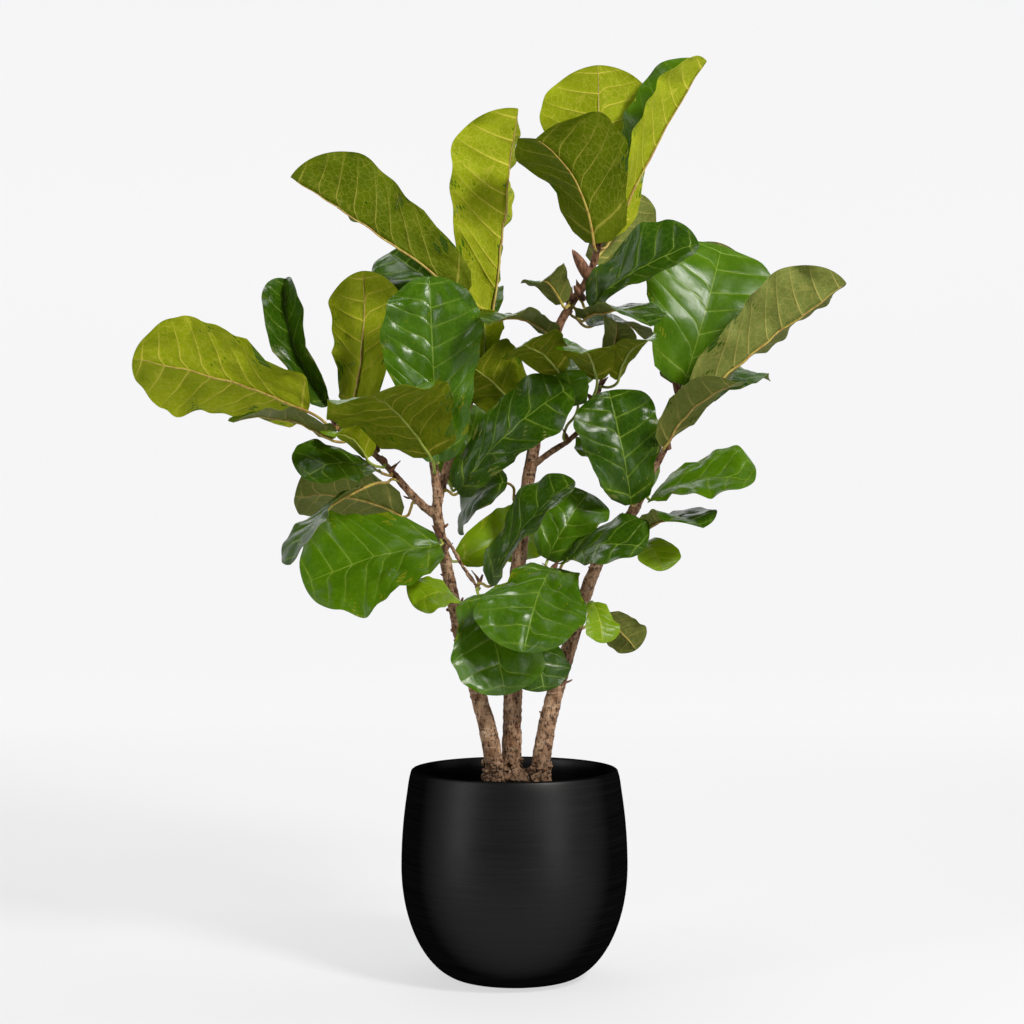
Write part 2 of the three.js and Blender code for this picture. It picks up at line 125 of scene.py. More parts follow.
class Nodes:
    """A new material's node tree, with short calls for the nodes used here."""

    def __init__(self, name):
        self.material = bpy.data.materials.new(name)
        self.material.use_nodes = True
        self.tree = self.material.node_tree
        self.shader = self.tree.nodes["Principled BSDF"]
        self.output = self.tree.nodes["Material Output"]

    def link(self, source, target):
        self.tree.links.new(source, target)

    def add(self, kind, **values):
        node = self.tree.nodes.new(kind)
        for key, value in values.items():
            setattr(node, key, value)
        return node

    def math(self, operation, a, b=None, clamp=False):
        node = self.add("ShaderNodeMath", operation=operation, use_clamp=clamp)
        for socket, value in zip(node.inputs, (a, b)):
            if isinstance(value, (int, float)):
                socket.default_value = value
            elif value is not None:
                self.link(value, socket)
        return node.outputs[0]

    def span(self, value, low, high, to_low=0.0, to_high=1.0):
        node = self.add("ShaderNodeMapRange", interpolation_type="SMOOTHSTEP")
        self.link(value, node.inputs["Value"])
        limits = [low, high, to_low, to_high]
        for name, number in zip(("From Min", "From Max", "To Min", "To Max"), limits):
            node.inputs[name].default_value = number
        return node.outputs["Result"]

    def mix(self, factor, a, b):
        node = self.add("ShaderNodeMix", data_type="RGBA")
        for socket, value in ((node.inputs[0], factor), (node.inputs[6], a), (node.inputs[7], b)):
            if isinstance(value, (int, float)):
                socket.default_value = value
            elif isinstance(value, tuple):
                socket.default_value = (*value, 1)
            else:
                self.link(value, socket)
        return node.outputs[2]

    def noise(self, coordinates, scale, detail=3, roughness=0.5):
        node = self.add("ShaderNodeTexNoise")
        self.link(coordinates, node.inputs["Vector"])
        node.inputs["Scale"].default_value = scale
        node.inputs["Detail"].default_value = detail
        node.inputs["Roughness"].default_value = roughness
        return node.outputs["Fac"]

    def voronoi(self, coordinates, scale, feature="F1"):
        node = self.add("ShaderNodeTexVoronoi", feature=feature)
        self.link(coordinates, node.inputs["Vector"])
        node.inputs["Scale"].default_value = scale
        return node.outputs["Distance"]

    def stretched(self, coordinates, scale):
        node = self.add("ShaderNodeMapping")
        self.link(coordinates, node.inputs["Vector"])
        node.inputs["Scale"].default_value = scale
        return node.outputs["Vector"]

    def object_coordinates(self):
        return self.add("ShaderNodeTexCoord").outputs["Object"]

    def parts(self, vector):
        node = self.add("ShaderNodeSeparateXYZ")
        self.link(vector, node.inputs[0])
        return node.outputs

    def map(self, name):
        return self.add("ShaderNodeUVMap", uv_map=name).outputs["UV"]

    def bump(self, height, distance):
        node = self.add("ShaderNodeBump")
        self.link(height, node.inputs["Height"])
        node.inputs["Distance"].default_value = distance
        self.link(node.outputs["Normal"], self.shader.inputs["Normal"])
        return node.outputs["Normal"]

    def set(self, **values):
        for key, value in values.items():
            self.shader.inputs[key.replace("_", " ")].default_value = value

    def blend(self, factor, other):
        """Shows a mix of the main shader and another one. At a factor of 1 only the other shows."""
        both = self.add("ShaderNodeMixShader")
        if isinstance(factor, (int, float)):
            both.inputs[0].default_value = factor
        else:
            self.link(factor, both.inputs[0])
        self.link(self.shader.outputs[0], both.inputs[1])
        self.link(other.outputs[0], both.inputs[2])
        self.link(both.outputs[0], self.output.inputs["Surface"])


def paper_material():
    """Pale paper that glows faintly in front, more at the plant and most behind it."""
    m = Nodes("backdrop")
    where = m.object_coordinates()
    tone = m.noise(where, 0.6, 2)
    m.link(m.mix(tone, (0.19, 0.19, 0.193), (0.21, 0.21, 0.212)), m.shader.inputs["Base Color"])
    behind = m.parts(where)[1]
    glow = m.math("ADD", m.span(behind, -5, 0, 0.1, 0.62), m.span(behind, 0, 5, 0, 0.17))
    m.link(glow, m.shader.inputs["Emission Strength"])
    m.set(Roughness=0.9, Specular_IOR_Level=0.1)
    m.shader.inputs["Emission Color"].default_value = (0.99, 0.99, 1, 1)
    return m.material


VEIN_HALF = 0.02  # half a side vein's width, as a share of the space between side veins
MIDRIB_HALF = 0.0017  # half the midrib's width near the base


def leaf_material(name, under, blade, patch, vein, glow, roughness, through, shine=0.2):
    """One side of a leaf: blade colour with cloudy patches, pale veins and a fine net between them."""
    m = Nodes(name)
    across, step = m.parts(m.map("veins"))[:2]
    sheet = m.map("sheet")
    sideways, onward = m.parts(sheet)[:2]
    beside = m.math("ABSOLUTE", sideways)
    edge = m.math("ABSOLUTE", across)
    # side veins taper towards the margin, and the midrib towards the tip
    ripple = m.math("MULTIPLY", m.math("SUBTRACT", m.noise(sheet, 90, 2), 0.5), 0.05)
    lateral = m.math("ADD", m.math("PINGPONG", step, 0.5), ripple)
    width = m.math("MULTIPLY", m.math("SUBTRACT", 1.25, edge), VEIN_HALF * (1.5 if under else 1.0))
    lateral = m.math("DIVIDE", lateral, width)
    lateral = m.math("MULTIPLY", m.span(lateral, 1.5, 0.5), m.span(edge, 1.0, 0.75))
    thin = m.math("SUBTRACT", 1.0, m.math("MULTIPLY", onward, 0.9))
    rib = m.math("DIVIDE", beside, m.math("MULTIPLY", thin, MIDRIB_HALF * (1.0 if under else 0.75)))
    rib = m.span(rib, 1.5, 0.7)
    net = m.span(m.voronoi(m.stretched(sheet, (1.0, 0.75, 1.0)), 105, "DISTANCE_TO_EDGE"), 0.09, 0.0)
    fine = m.span(m.voronoi(sheet, 330, "DISTANCE_TO_EDGE"), 0.12, 0.0)
    major = m.math("MAXIMUM", lateral, rib)
    lines = m.math("MAXIMUM", major, m.math("MULTIPLY", net, 0.38 if under else 0.2), clamp=True)
    cloud = m.noise(sheet, 16, 4, 0.6)
    ground = m.mix(m.span(cloud, 0.35, 0.7), blade, patch)
    halo = m.math("MULTIPLY", m.span(m.math("PINGPONG", step, 0.5), 0.14, 0.02), 0.1)
    ground = m.mix(halo, ground, vein)
    color = m.mix(m.math("MULTIPLY", lines, 0.85 if under else 0.62), ground, vein)
    m.link(color, m.shader.inputs["Base Color"])
    grain = m.noise(sheet, 420, 2)
    gloss = m.span(cloud, 0.3, 0.75, roughness - 0.05, roughness + 0.07)
    m.link(gloss, m.shader.inputs["Roughness"])
    raised = m.math("MULTIPLY", lines, 1.0 if under else -0.6)
    height = m.math("ADD", raised, m.math("MULTIPLY", fine, 0.22 if under else -0.12))
    height = m.math("ADD", height, m.math("MULTIPLY", grain, 0.12))
    normal = m.bump(height, 0.0005 if under else 0.00035)
    m.set(Specular_IOR_Level=0.05 if under else shine)
    # light that comes through the blade
    glowing = m.add("ShaderNodeBsdfTranslucent")
    shade = m.mix(m.math("MULTIPLY", lines, 0.45), glow, tuple(0.45 * c for c in glow))
    m.link(shade, glowing.inputs["Color"])
    m.link(normal, glowing.inputs["Normal"])
    m.blend(through, glowing)
    return m.material


def stalk_material(name, young, old):
    """Petiole and midrib skin, streaked lengthwise in two tones."""
    m = Nodes(name)
    where = m.object_coordinates()
    streak = m.noise(m.stretched(where, (1, 1, 0.25)), 160, 4)
    m.link(m.mix(m.span(streak, 0.4, 0.65), young, old), m.shader.inputs["Base Color"])
    m.bump(m.noise(where, 900, 3), 0.0003)
    m.set(Roughness=0.45)
    return m.material


def bark_material():
    """Tan bark with pale plates, dark pits and cracks, browner and smoother on young wood."""
    m = Nodes("bark")
    where = m.object_coordinates()
    plates = m.noise(m.stretched(where, (1, 1, 0.5)), 58, 6, 0.68)
    rings = m.noise(m.stretched(where, (0.35, 0.35, 2.2)), 75, 4, 0.6)
    pits = m.noise(m.stretched(where, (1, 1, 0.7)), 210, 3, 0.6)
    flecks = m.voronoi(m.stretched(where, (1, 1, 0.6)), 150)
    ground = m.mix(m.span(plates, 0.36, 0.66), (0.13, 0.062, 0.03), (0.36, 0.225, 0.135))
    ground = m.mix(m.math("MULTIPLY", m.span(rings, 0.52, 0.66), 0.5), ground, (0.45, 0.32, 0.21))
    height = m.parts(where)[2]
    young = m.span(height, 0.75, 1.15)
    ground = m.mix(m.math("MULTIPLY", young, 0.7), ground, (0.15, 0.062, 0.03))
    # darker towards the bottom, next to the soil
    near_soil = m.span(height, 0.42, 0.345)
    ground = m.mix(m.math("MULTIPLY", near_soil, 0.6), ground, (0.06, 0.032, 0.018))
    cracks = m.math("MULTIPLY", m.span(flecks, 0.38, 0.16), m.span(plates, 0.66, 0.42))
    dark = m.math("MAXIMUM", cracks, m.math("MULTIPLY", m.span(pits, 0.56, 0.66), 0.85))
    m.link(m.mix(dark, ground, (0.026, 0.015, 0.009)), m.shader.inputs["Base Color"])
    relief = m.math("ADD", plates, m.math("MULTIPLY", rings, 0.6))
    relief = m.math("SUBTRACT", relief, m.math("MULTIPLY", dark, 0.5))
    m.bump(relief, 0.003)
    m.set(Roughness=0.82, Specular_IOR_Level=0.2)
    return m.material


def husk_material():
    """Dry brown paper with fine streaks."""
    m = Nodes("husk")
    where = m.object_coordinates()
    streak = m.noise(m.stretched(where, (1, 1, 0.3)), 240, 4)
    color = m.mix(m.span(streak, 0.35, 0.7), (0.075, 0.026, 0.012), (0.23, 0.1, 0.045))
    m.link(color, m.shader.inputs["Base Color"])
    m.bump(streak, 0.0006)
    m.set(Roughness=0.7)
    return m.material


def soil_material():
    """Near-black crumbs with a few lighter bits of fibre."""
    m = Nodes("soil")
    where = m.object_coordinates()
    clods = m.noise(where, 130, 6, 0.7)
    bits = m.voronoi(where, 420)
    ground = m.mix(m.span(clods, 0.35, 0.7), (0.006, 0.0045, 0.0035), (0.034, 0.023, 0.016))
    m.link(m.mix(m.span(bits, 0.2, 0.05), ground, (0.075, 0.05, 0.032)), m.shader.inputs["Base Color"])
    m.bump(clods, 0.004)
    m.set(Roughness=0.95)
    return m.material


def pot_material():
    """Satin black with faint turning lines, a little dust and soft scuffs."""
    m = Nodes("pot")
    where = m.object_coordinates()
    lines = m.noise(m.stretched(where, (0.5, 0.5, 60)), 12, 5, 0.65)
    wide = m.noise(m.stretched(where, (1, 1, 4)), 4, 3)
    dust = m.noise(where, 700, 2)
    ground = m.mix(m.span(lines, 0.35, 0.7), (0.0012, 0.0012, 0.0013), (0.0042, 0.0042, 0.0045))
    ground = m.mix(m.math("MULTIPLY", m.span(dust, 0.66, 0.8), 0.15), ground, (0.02, 0.02, 0.02))
    m.link(ground, m.shader.inputs["Base Color"])
    gloss = m.math("ADD", m.span(lines, 0.3, 0.75, 0.36, 0.46), m.span(wide, 0.3, 0.7, -0.03, 0.05))
    m.link(gloss, m.shader.inputs["Roughness"])
    m.bump(m.math("ADD", lines, m.math("MULTIPLY", dust, 0.1)), 0.0002)
    m.set(Specular_IOR_Level=0.2)
    # the satin coat gives way to plain black where the wall turns away
    facing = m.add("ShaderNodeLayerWeight")
    facing.inputs["Blend"].default_value = 0.5
    matte = m.add("ShaderNodeBsdfDiffuse")
    m.link(ground, matte.inputs["Color"])
    m.blend(m.span(facing.outputs["Facing"], 0.08, 0.5), matte)
    return m.material


# ---------------------------------------------------------------- meshes


def new_piece(name, mesh, slot, *replaced):
    piece = bpy.data.objects.new(name, mesh)
    bpy.context.scene.collection.objects.link(piece)
    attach(piece, "root")
    if replaced:
        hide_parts(*replaced)
    return piece


def merged(node):
    """A CAD node's mesh as a bmesh in which the triangles share their corners."""
    mesh = bmesh.new()
    mesh.from_mesh(NODES[node].data)
    bmesh.ops.remove_doubles(mesh, verts=mesh.verts, dist=2e-5)
    mesh.normal_update()
    mesh.verts.ensure_lookup_table()
    return mesh


def smooth_through(xs, ys, x):
    """The values at x of a smooth curve through the points (xs, ys)."""
    slopes = np.gradient(ys, xs, axis=0)
    i = np.clip(np.searchsorted(xs, x, side="right") - 1, 0, len(xs) - 2)
    span = xs[i + 1] - xs[i]
    t = (x - xs[i]) / span
    if ys.ndim > 1:
        span, t = span[:, None], t[:, None]
    return (
        ys[i] * (1 + 2 * t) * (1 - t) ** 2
        + ys[i + 1] * t * t * (3 - 2 * t)
        + slopes[i] * span * t * (1 - t) ** 2
        - slopes[i + 1] * span * t * t * (1 - t)
    )


def smoothstep(x):
    x = np.clip(x, 0, 1)
    return x * x * (3 - 2 * x)


def unit(vectors):
    return vectors / np.maximum(np.linalg.norm(vectors, axis=-1, keepdims=True), 1e-12)


def grid_faces(rows, columns, start=0, closed=False):
    """Quads of a grid of points stored row by row. A closed grid's last column meets its first."""
    faces = []
    for i in range(rows - 1):
        for j in range(columns if closed else columns - 1):
            a = start + i * columns + j
            b = start + i * columns + (j + 1) % columns
            faces.append((a, b, b + columns, a + columns))
    return faces


def rim_of(rows, columns):
    """The outermost points of such a grid, once round from its first corner."""
    rim = [i * columns for i in range(rows)]
    rim += [(rows - 1) * columns + j for j in range(1, columns)]
    rim += [i * columns + columns - 1 for i in range(rows - 2, -1, -1)]
    return rim + list(range(columns - 2, 0, -1))


def shell_faces(rows, columns):
    """Faces of two such grids, the second stored after the first: one side, the other side and the rim."""
    count = rows * columns
    rim = rim_of(rows, columns)
    first = grid_faces(rows, columns)
    second = grid_faces(rows, columns, count)
    around = [(a, b, b + count, a + count) for a, b in zip(rim, rim[1:] + rim[:1])]
    return first, second, around


def end_fans(last, segments):
    """Triangles that close a turned shape at its first point and its last."""
    faces = []
    for i in range(segments):
        after = (i + 1) % segments
        faces.append((0, 1 + after, 1 + i))
        faces.append((last, last - segments + i, last - segments + after))
    return faces


def circle(radius, height, segments):
    turns = [2 * math.pi * i / segments for i in range(segments)]
    return [(radius * math.cos(turn), radius * math.sin(turn), height) for turn in turns]


def new_mesh(name, points, faces, *materials):
    mesh = bpy.data.meshes.new(name)
    mesh.from_pydata([tuple(point) for point in points], [], faces)
    for material in materials:
        mesh.materials.append(material)
    mesh.shade_smooth()
    return mesh


def tube(path, radii, sides=10):
    """Points and faces of a round tube along a path, with closed ends."""
    points = []
    along = unit(np.gradient(path, axis=0))
    side = unit(np.cross(along[0], (0.3, 0.5, 0.8)))
    turns = 2 * np.pi * np.arange(sides) / sides
    for middle, tangent, radius in zip(path, along, radii):
        side = unit(side - tangent * (side @ tangent))
        up = np.cross(tangent, side)
        ring = np.outer(np.cos(turns), side) + np.outer(np.sin(turns), up)
        points.extend(middle + radius * ring)
    faces = grid_faces(len(path), sides, closed=True)
    last = (len(path) - 1) * sides
    faces.append(tuple(reversed(range(sides))))
    faces.append(tuple(range(last, last + sides)))
    return points, faces


# ---------------------------------------------------------------- leaves

RING = 8  # points in each ring of a CAD leaf: left edge, three above, right edge, three below
VEIN_SPACING = 0.044  # between side veins, along the midrib
COLUMN_WIDTH = 0.0065  # about the distance between points across the blade
SKIN = 0.00035  # half the blade's thickness
WIDE_LEAF = 0.08  # half width from which a leaf has its full swell and pucker
PETIOLE_RADIUS = 0.0026
PETIOLE_STEPS = 72


def layers_from(start):
    """The mesh's vertices in layers, each one edge further from the start."""
    seen, layer, layers = {start}, [start], []
    while layer:
        layers.append(layer)
        found = []
        for vertex in layer:
            for edge in vertex.link_edges:
                other = edge.other_vert(vertex)
                if other not in seen:
                    seen.add(other)
                    found.append(other)
        layer = found
    return layers


def touching(vertex, others):
    return sum(edge.other_vert(vertex) in others for edge in vertex.link_edges)


def middle_of(ring):
    return sum((vertex.co for vertex in ring), Vector()) / len(ring)


def in_order(ring, before, after):
    """A ring's vertices from its left edge over the upper side. Its edges are known by their neighbours."""
    if len(before) > 1:
        counts = {vertex: touching(vertex, set(before)) for vertex in ring}
    else:
        counts = {vertex: 4 - touching(vertex, set(after)) for vertex in ring}
    left = min(counts, key=counts.get)
    right = max(counts, key=counts.get)
    up = (right.co - left.co).cross(middle_of(after) - middle_of(before))
    members = set(ring)
    for edge in left.link_edges:
        walk = [left, edge.other_vert(left)]
        if walk[1] not in members:
            continue
        while len(walk) < RING:
            onward = [e.other_vert(walk[-1]) for e in walk[-1].link_edges]
            walk.append(next(v for v in onward if v in members and v not in walk[-2:]))
        if walk[2].normal.dot(up) > 0:
            return walk
    raise ValueError("a leaf's ring has no upper side")


def read_leaf(node):
    """The rings of a CAD leaf from petiole to tip as an array, the tip, and the petiole's foot."""
    mesh = merged(node)
    ways = []
    for vertex in mesh.verts:
        if len(vertex.link_edges) == RING:
            layers = layers_from(vertex)
            if len(layers[-1]) == 1 and all(len(layer) == RING for layer in layers[1:-1]):
                ways.append(layers)
    layers = max(ways, key=lambda way: sum(face.calc_area() for face in way[0][0].link_faces))
    layers.reverse()
    rings = []
    for i in range(1, len(layers) - 1):
        walk = in_order(layers[i], layers[i - 1], layers[i + 1])
        rings.append([tuple(vertex.co) for vertex in walk])
    foot, tip = np.array(layers[0][0].co), np.array(layers[-1][0].co)
    mesh.free()
    return np.array(rings), tip, foot


class Blade:
    """A leaf's blade as smooth functions of t, from base to tip, and of its share across."""

    def __init__(self, rings, tip):
        middles = np.vstack([rings[:, 2], tip])
        gaps = np.linalg.norm(np.diff(middles, axis=0), axis=1)
        self.length = gaps.sum()
        self.stations = np.concatenate([[0], np.cumsum(gaps)]) / self.length
        self.middles = middles
        half = (rings[:, 0] - rings[:, 2], rings[:, 4] - rings[:, 2])
        inner = ((rings[:, 1] + rings[:, 7]) / 2, (rings[:, 3] + rings[:, 5]) / 2)
        self.widths, self.edges, self.inners = [], [], []
        for edge, point in zip(half, inner):
            inside = point - rings[:, 2]
            width = np.linalg.norm(inside, axis=1) + np.linalg.norm(edge - inside, axis=1)
            self.widths.append(np.append(width, 0) ** 2)
            self.edges.append(np.vstack([edge / width[:, None], edge[-1] / width[-1]]))
            self.inners.append(np.vstack([inside / width[:, None], inside[-1] / width[-1]]))
        self.half_width = math.sqrt(max(w.max() for w in self.widths))

    def width(self, side, t):
        return np.sqrt(np.maximum(smooth_through(self.stations, self.widths[side], t), 0))

    def point(self, t, across, stretch=1.0):
        """Points at shares t along the blade and across it, from -1 at the left edge to 1 at the right."""
        share = np.abs(across)[:, None]
        found = smooth_through(self.stations, self.middles, t)
        for side in (0, 1):
            picked = (across > 0) == bool(side)
            edge = smooth_through(self.stations, self.edges[side], t)
            inner = smooth_through(self.stations, self.inners[side], t)
            offset = inner * 4 * share * (1 - share) + edge * share * (2 * share - 1)
            width = (self.width(side, t) * stretch)[:, None]
            found = np.where(picked[:, None], found + offset * width, found)
        return found


def vein_rows(veins):
    """Row positions counted in side veins: three rows for each vein's ridge and three between veins."""
    rows = [-0.35, -0.2]
    for vein in range(veins):
        rows += [vein + part for part in (-0.045, 0.0, 0.045, 0.2, 0.38, 0.62, 0.8)]
    rows = [row for row in rows if row < veins - 0.15]
    left = veins + 0.4 - rows[-1]
    rows += [veins + 0.4 - left * share for share in (0.75, 0.5, 0.3, 0.16, 0.07, 0.02, 0.004)]
    return np.array(rows)


def petiole(foot, stalk, starts, centre, normals):
    """Points and faces of the petiole, which runs on under the blade's centre line as its midrib."""
    ride = np.linspace(0.0, 0.97, 26)
    spine = smooth_through(starts, centre, ride)
    above = unit(smooth_through(starts, normals, ride))
    rib = 0.0021 * (1 - ride) ** 0.9 + 0.0004
    spine = spine - above * (0.9 * rib + 0.0005)[:, None]
    path = np.vstack([foot + 0.004 * unit(foot - stalk[0]), foot, stalk, spine])
    radii = np.concatenate([[0.0034, 0.0032], np.full(len(stalk), PETIOLE_RADIUS), rib])
    where = np.concatenate([[0], np.cumsum(np.linalg.norm(np.diff(path, axis=0), axis=1))])
    fine = np.linspace(0, where[-1], PETIOLE_STEPS)
    return tube(smooth_through(where, path, fine), np.interp(fine, where, radii))


def make_leaf(node, materials, rumple, dice):
    """A CAD leaf drawn again: a veined, ruffled blade with its petiole. Gives the petiole's first points."""
    rings, tip, foot = read_leaf(node)
    span = np.linalg.norm(rings[:, 0] - rings[:, 4], axis=1)
    depth = np.linalg.norm(rings[:, 2] - rings[:, 6], axis=1)
    first = int(np.argmax(span > 1.8 * depth))
    blade = Blade(rings[first:], tip)
    veins = int(np.clip(round(blade.length / VEIN_SPACING), 4, 8))
    steps = vein_rows(veins)
    starts = (steps + 0.35) / (veins + 0.75)
    marks = np.arange(-1, veins + 2)
    shift = [0, *(dice.uniform(-0.13, 0.13) for _ in range(veins)), 0, 0]
    starts = starts + np.interp(steps, marks, shift) / (veins + 0.75)
    slants = np.interp(steps, marks, [dice.uniform(0.92, 1.08) for _ in marks])
    half_columns = int(np.clip(round(blade.half_width / COLUMN_WIDTH), 7, 14))
    line = np.linspace(0, 1, half_columns + 1) ** 0.9
    across = np.concatenate([-line[::-1], line[1:]])
    rows, columns = len(steps), len(across)
    step = np.repeat(steps, columns)
    start = np.repeat(starts, columns)
    share = np.tile(across, rows)
    size = np.abs(share)

    # rows leave the midrib and sweep forward to the margin, as the side veins do
    sweep = 0.36 * (1 - start) * smoothstep(start / 0.16) * np.repeat(slants, columns)
    along = start + sweep * (0.6 * size + 0.4 * size**2)
    # the left side's veins leave the midrib a little further on than the right side's
    later = 0.38 / (veins + 0.75) * smoothstep(size / 0.14) * smoothstep(start / 0.15)
    along = np.where(share < 0, along + later * smoothstep((1 - along) / 0.25), along)
    along = np.clip(along, 0, 1)

    # the margin's own lobes and ruffles
    phase = [dice.uniform(0, 2 * math.pi) for _ in range(8)]
    left = (share < 0).astype(float)
    lobes = 0.04 * np.sin(2 * math.pi * 2.1 * along + phase[0] + 2.1 * left)
    lobes += 0.022 * np.sin(2 * math.pi * 5.3 * along + phase[1] + 1.3 * left)
    stretch = 1 + lobes * size**2 * smoothstep((1 - along) / 0.2)
    middle = blade.point(along, share, stretch)
    nudge = 1e-3
    ahead = blade.point(np.minimum(along + nudge, 1), share, stretch)
    behind = blade.point(np.maximum(along - nudge, 0), share, stretch)
    right = blade.point(along, np.minimum(share + nudge, 1), stretch)
    left_of = blade.point(along, np.maximum(share - nudge, -1), stretch)
    normal = unit(np.cross(right - left_of, ahead - behind))

    width = blade.half_width
    fade = smoothstep(along / 0.08) * smoothstep((1 - along) / 0.1)
    ruffle = np.sin(2 * math.pi * (veins * 0.42) * along + phase[2] + 2.6 * left)
    ruffle += 0.6 * np.sin(2 * math.pi * (veins * 0.9) * along + phase[3] + 1.1 * left)
    lift = 0.075 * min(rumple + 0.3, 1) * width * ruffle * size**2.4 * fade
    lift += 0.03 * width * np.sin(2 * math.pi * 1.3 * along + phase[4] + 1.5 * share) * size * fade
    between = np.abs(np.sin(math.pi * step))
    seed = Vector((phase[5], phase[6], phase[7])) * 9
    spots = np.column_stack([share * width, along * blade.length, np.zeros_like(share)])
    spots = [Vector(spot) for spot in spots]
    swell = [noise.noise(spot * 26 + seed) + 0.4 * noise.noise(spot * 62 + seed) for spot in spots]
    fullness = rumple * np.minimum(1, width / WIDE_LEAF)
    lift += 0.006 * fullness * np.array(swell) * fade
    pucker = 0.0012 * fullness
    lift += pucker * between**0.7 * np.sin(math.pi * np.clip(size, 0, 0.93) / 0.93) ** 0.6 * fade
    surface = middle + normal * lift[:, None]
    grid = surface.reshape(rows, columns, 3)
    normal = unit(np.cross(np.gradient(grid, axis=1), np.gradient(grid, axis=0))).reshape(-1, 3)

    # a thin shell: veins sink in above and stand out below
    on_vein = np.clip(1 - np.abs((step + 0.5) % 1 - 0.5) / 0.05, 0, 1) * (1 - 0.75 * size)
    on_vein = np.where((step > -0.1) & (step < veins - 0.5), on_vein, 0)
    skin = SKIN * (1 - 0.5 * size**4)
    near = np.clip(1 - size * width / 0.004, 0, 1)
    upper = surface + normal * (skin - 0.0003 * on_vein - 0.0003 * near)[:, None]
    under = surface - normal * (skin + 0.0009 * on_vein + 0.0006 * near)[:, None]

    points = [*upper, *under]
    top_faces, low_faces, around = shell_faces(rows, columns)
    low_faces = [tuple(reversed(face)) for face in low_faces]

    stalk = rings[:first].mean(axis=1)
    middle_column = normal.reshape(rows, columns, 3)[:, half_columns]
    stalk_points, stalk_faces = petiole(foot, stalk, starts, grid[:, half_columns], middle_column)
    base = len(points)
    points += stalk_points
    stalk_faces = [tuple(base + i for i in face) for face in stalk_faces]

    name = node.replace("leaf_", "blade_")
    mesh = new_mesh(name, points, top_faces + low_faces + around + stalk_faces, *materials)
    kinds = [0] * len(top_faces) + [1] * (len(low_faces) + len(around)) + [2] * len(stalk_faces)
    mesh.polygons.foreach_set("material_index", kinds)
    mark_sharp(mesh, len(top_faces) + len(low_faces), len(around))
    set_map(mesh, "veins", np.column_stack([share, step]), len(points))
    set_map(mesh, "sheet", np.column_stack([share * width, along * blade.length]), len(points))
    mesh.update()
    new_piece(name, mesh, "leaf", node)
    return foot, stalk[0]


def mark_sharp(mesh, first, count):
    """Creases both edges of the blade's rim. The rim's faces are stored together, from first on."""
    creased = set()
    for index in range(first, first + count):
        a, b, c, d = mesh.polygons[index].vertices
        creased.update((tuple(sorted((a, b))), tuple(sorted((c, d)))))
    flags = [tuple(sorted(edge.vertices)) in creased for edge in mesh.edges]
    layer = mesh.attributes.new("sharp_edge", "BOOLEAN", "EDGE")
    layer.data.foreach_set("value", flags)


def set_map(mesh, name, values, point_count):
    """Gives both sides of the blade the same map, and the stalk its zero."""
    rows = len(values)
    table = np.zeros((point_count, 2))
    table[:rows] = values
    table[rows : 2 * rows] = values
    layer = mesh.uv_layers.new(name=name)
    corners = np.zeros(len(mesh.loops), int)
    mesh.loops.foreach_get("vertex_index", corners)
    layer.uv.foreach_set("vector", table[corners].ravel())


def leaf_looks():
    """Materials for each look of a leaf: upper side, underside and stalk. Young leaves are paler by age;
    upper_deep and under_shaded are darker copies with painted shade, and under_pale is a paler copy that is
    the young leaves' own colour and painted light on the glowing leaves.
    """
    green_stalk = stalk_material("stalk_green", (0.2, 0.27, 0.03), (0.28, 0.3, 0.05))
    brown_stalk = stalk_material("stalk_brown", (0.34, 0.27, 0.04), (0.27, 0.14, 0.03))
    vein = (0.2, 0.3, 0.03)
    # upper_deep is a darker copy of upper_mid: partly a darker green, partly painted shade
    deep = leaf_material(
        "upper_deep", False, (0.016, 0.05, 0.001), (0.028, 0.074, 0.0012), vein, (0.18, 0.32, 0.003),
        0.23, 0.2)
    mid = leaf_material(
        "upper_mid", False, (0.04, 0.105, 0.001), (0.064, 0.142, 0.0015), vein, (0.26, 0.42, 0.003),
        0.25, 0.2)
    glossy = leaf_material(
        "upper_glossy", False, (0.032, 0.09, 0.001), (0.052, 0.13, 0.0015), vein, (0.22, 0.38, 0.003),
        0.25, 0.2, 0.34)
    fresh = leaf_material(
        "upper_fresh", False, (0.12, 0.22, 0.003), (0.18, 0.3, 0.004), (0.4, 0.46, 0.04),
        (0.45, 0.6, 0.004), 0.3, 0.32)
    dull = leaf_material(
        "under_dull", True, (0.13, 0.155, 0.03), (0.17, 0.2, 0.045), (0.38, 0.34, 0.09),
        (0.3, 0.36, 0.01), 0.5, 0.3)
    olive = leaf_material(
        "under_olive", True, (0.12, 0.16, 0.002), (0.16, 0.205, 0.004), (0.44, 0.4, 0.05),
        (0.34, 0.44, 0.001), 0.5, 0.36)
    # under_shaded is a darker copy of under_olive: painted shade
    shaded = leaf_material(
        "under_shaded", True, (0.078, 0.116, 0.001), (0.11, 0.15, 0.002), (0.32, 0.31, 0.04),
        (0.24, 0.33, 0.001), 0.5, 0.3)
    # under_pale is a paler copy of under_olive: the young leaves' own colour, and painted light on the
    # glowing leaves lit from behind
    pale = leaf_material(
        "under_pale", True, (0.27, 0.32, 0.006), (0.33, 0.38, 0.01), (0.7, 0.62, 0.08),
        (0.56, 0.66, 0.004), 0.48, 0.38)
    return {
        "dark": (deep, dull, brown_stalk),
        "plain": (mid, olive, green_stalk),
        "glossy": (glossy, olive, green_stalk),
        "glowing": (mid, pale, brown_stalk),
        "young": (fresh, pale, green_stalk),
        "shaded": (deep, shaded, brown_stalk),
    }
